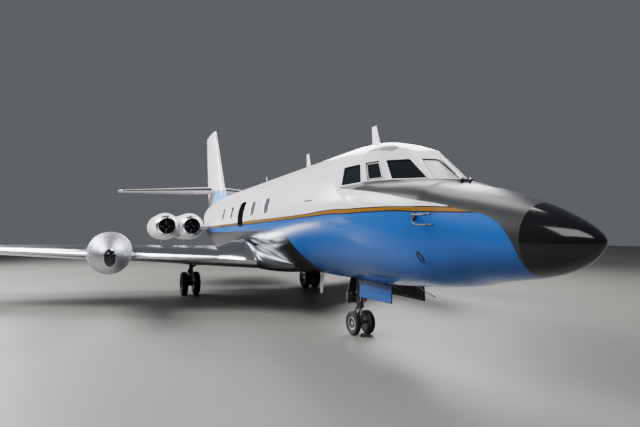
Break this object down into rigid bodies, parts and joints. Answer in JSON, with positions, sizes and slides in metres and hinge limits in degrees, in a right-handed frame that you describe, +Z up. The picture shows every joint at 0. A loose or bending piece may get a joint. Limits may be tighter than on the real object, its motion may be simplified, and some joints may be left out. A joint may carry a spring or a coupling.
{
  "type": "business jet",
  "caption": "Full-size light jet transport on its gear: hollow cabin and cockpit, swept low wing with slipper tanks, paired rear engine pods and a cruciform tail.",
  "frame": {"origin": "on the ground under the middle of the bounding box", "axes": "+X forward to the nose, +Y to port, +Z up"},
  "size_m": [18.409, 16.586, 6.22],
  "materials": {
    "radome_black": "gloss black paint on a moulded glass-fibre radome",
    "livery_paint": "gloss enamel: white over blue with a gold stripe and a black anti-glare panel",
    "tail_paint": "gloss white enamel",
    "door_paint": "gloss blue enamel outside, dark primer inside",
    "polished_skin": "bare aluminium sheet, polished, riveted in panels",
    "glazing": "tinted laminated panes",
    "gear_steel": "dark oiled steel forgings with bright pistons",
    "wheel_alloy": "cast and silver painted",
    "tyre_rubber": "worn black rubber, ribbed tread",
    "engine_steel": "heat-stained sheet steel",
    "cabin_trim": "woven upholstery and carpet"
  },
  "bodies": {
    "airframe": {"radome": "radome_black", "nose_section": "livery_paint", "cockpit_section": "livery_paint", "cabin_section": "livery_paint", "cabin_keel": "livery_paint", "aft_fuselage": "livery_paint", "tail_cone": "polished_skin", "entry_door": "livery_paint", "cockpit_interior": "cabin_trim", "cabin_interior": "cabin_trim", "belly_fairing": "polished_skin", "cabin_windows_left": "glazing", "cabin_windows_right_front": "glazing", "cabin_windows_right_rear": "glazing", "windscreen_left": "glazing", "windscreen_right": "glazing", "quarter_window_left": "glazing", "quarter_window_right": "glazing", "sliding_window_left": "glazing", "sliding_window_right": "glazing", "rear_window_left": "glazing", "rear_window_right": "glazing", "fin": "tail_paint", "tailplane": "tail_paint", "wing_left": "polished_skin", "wing_right": "polished_skin", "tank_left": "polished_skin", "tank_right": "polished_skin", "nacelle_left": "tail_paint", "nacelle_right": "tail_paint", "pylon_left": "tail_paint", "pylon_right": "tail_paint", "engine_left_inner": "engine_steel", "engine_left_outer": "engine_steel", "engine_right_inner": "engine_steel", "engine_right_outer": "engine_steel", "nose_gear_leg": "gear_steel", "main_gear_leg_left": "gear_steel", "main_gear_leg_right": "gear_steel"},
    "nose_steering": {"nose_gear_fork": "gear_steel"},
    "nose_wheels": {"nose_wheel_hubs": "wheel_alloy", "nose_tyre_left": "tyre_rubber", "nose_tyre_right": "tyre_rubber"},
    "main_wheels_left": {"main_wheel_hubs_left": "wheel_alloy", "main_tyre_left_outer": "tyre_rubber", "main_tyre_left_inner": "tyre_rubber"},
    "main_wheels_right": {"main_wheel_hubs_right": "wheel_alloy", "main_tyre_right_outer": "tyre_rubber", "main_tyre_right_inner": "tyre_rubber"},
    "nose_door_left_body": {"nose_door_left": "door_paint"},
    "nose_door_right_body": {"nose_door_right": "door_paint"},
    "aileron_left_body": {"aileron_left": "polished_skin"},
    "aileron_right_body": {"aileron_right": "polished_skin"},
    "flap_inboard_left_body": {"flap_inboard_left": "polished_skin"},
    "flap_inboard_right_body": {"flap_inboard_right": "polished_skin"},
    "flap_outboard_left_body": {"flap_outboard_left": "polished_skin"},
    "flap_outboard_right_body": {"flap_outboard_right": "polished_skin"},
    "elevator_left_body": {"elevator_left": "tail_paint"},
    "elevator_right_body": {"elevator_right": "tail_paint"},
    "rudder_body": {"rudder": "tail_paint"}
  },
  "joints": [
    {"name": "nose_steer", "type": "hinge", "parent": "airframe", "child": "nose_steering", "pos_m": [5.115, 0, 0.52], "axis": [0, 0, 1], "range_deg": [-55, 55]},
    {"name": "nose_wheel_spin", "type": "hinge", "parent": "nose_steering", "child": "nose_wheels", "pos_m": [5.115, 0, 0.2], "axis": [0, 1, 0], "continuous": true},
    {"name": "main_wheel_left_spin", "type": "hinge", "parent": "airframe", "child": "main_wheels_left", "pos_m": [-1.165, 1.875, 0.33], "axis": [0, 1, 0], "continuous": true},
    {"name": "main_wheel_right_spin", "type": "hinge", "parent": "airframe", "child": "main_wheels_right", "pos_m": [-1.165, -1.875, 0.33], "axis": [0, 1, 0], "continuous": true},
    {"name": "nose_door_left_close", "type": "hinge", "parent": "airframe", "child": "nose_door_left_body", "pos_m": [6.08, 0.28, 0.99837], "axis": [-1, 0, 0], "range_deg": [0, 88]},
    {"name": "nose_door_right_close", "type": "hinge", "parent": "airframe", "child": "nose_door_right_body", "pos_m": [6.08, -0.28, 0.99837], "axis": [1, 0, 0], "range_deg": [0, 88]},
    {"name": "aileron_left_tilt", "type": "hinge", "parent": "airframe", "child": "aileron_left_body", "pos_m": [-2.97435, 6.92, 1.36939], "axis": [-0.3625, 0.9315, 0.0297], "range_deg": [-20, 20]},
    {"name": "aileron_right_tilt", "type": "hinge", "parent": "airframe", "child": "aileron_right_body", "pos_m": [-2.97435, -6.92, 1.36939], "axis": [0.3625, 0.9315, -0.0297], "range_deg": [-20, 20]},
    {"name": "flap_inboard_left_drop", "type": "hinge", "parent": "airframe", "child": "flap_inboard_left_body", "pos_m": [-1.4437, 2.32, 1.21494], "axis": [0.3418, -0.9393, -0.0307], "range_deg": [0, 50]},
    {"name": "flap_inboard_right_drop", "type": "hinge", "parent": "airframe", "child": "flap_inboard_right_body", "pos_m": [-1.4437, -2.32, 1.21494], "axis": [-0.3418, -0.9393, 0.0307], "range_deg": [0, 50]},
    {"name": "flap_outboard_left_drop", "type": "hinge", "parent": "airframe", "child": "flap_outboard_left_body", "pos_m": [-2.32007, 5.1, 1.30983], "axis": [0.3567, -0.9337, -0.03], "range_deg": [0, 50]},
    {"name": "flap_outboard_right_drop", "type": "hinge", "parent": "airframe", "child": "flap_outboard_right_body", "pos_m": [-2.32007, -5.1, 1.30983], "axis": [-0.3567, -0.9337, 0.03], "range_deg": [0, 50]},
    {"name": "elevator_left_tilt", "type": "hinge", "parent": "airframe", "child": "elevator_left_body", "pos_m": [-8.40786, 2.03, 3.6], "axis": [-0.2803, 0.9599, 0], "range_deg": [-15, 25]},
    {"name": "elevator_right_tilt", "type": "hinge", "parent": "airframe", "child": "elevator_right_body", "pos_m": [-8.40786, -2.03, 3.6], "axis": [0.2803, 0.9599, 0], "range_deg": [-15, 25]},
    {"name": "rudder_turn", "type": "hinge", "parent": "airframe", "child": "rudder_body", "pos_m": [-7.83265, 0, 4.53], "axis": [-0.2761, 0, 0.9611], "range_deg": [-30, 30]}
  ],
  "couplings": [
    {"joint": "aileron_right_tilt", "follows": "aileron_left_tilt", "ratio": -1},
    {"joint": "elevator_right_tilt", "follows": "elevator_left_tilt", "ratio": 1},
    {"joint": "flap_inboard_right_drop", "follows": "flap_inboard_left_drop", "ratio": 1},
    {"joint": "flap_outboard_left_drop", "follows": "flap_inboard_left_drop", "ratio": 1},
    {"joint": "flap_outboard_right_drop", "follows": "flap_inboard_left_drop", "ratio": 1}
  ]
}
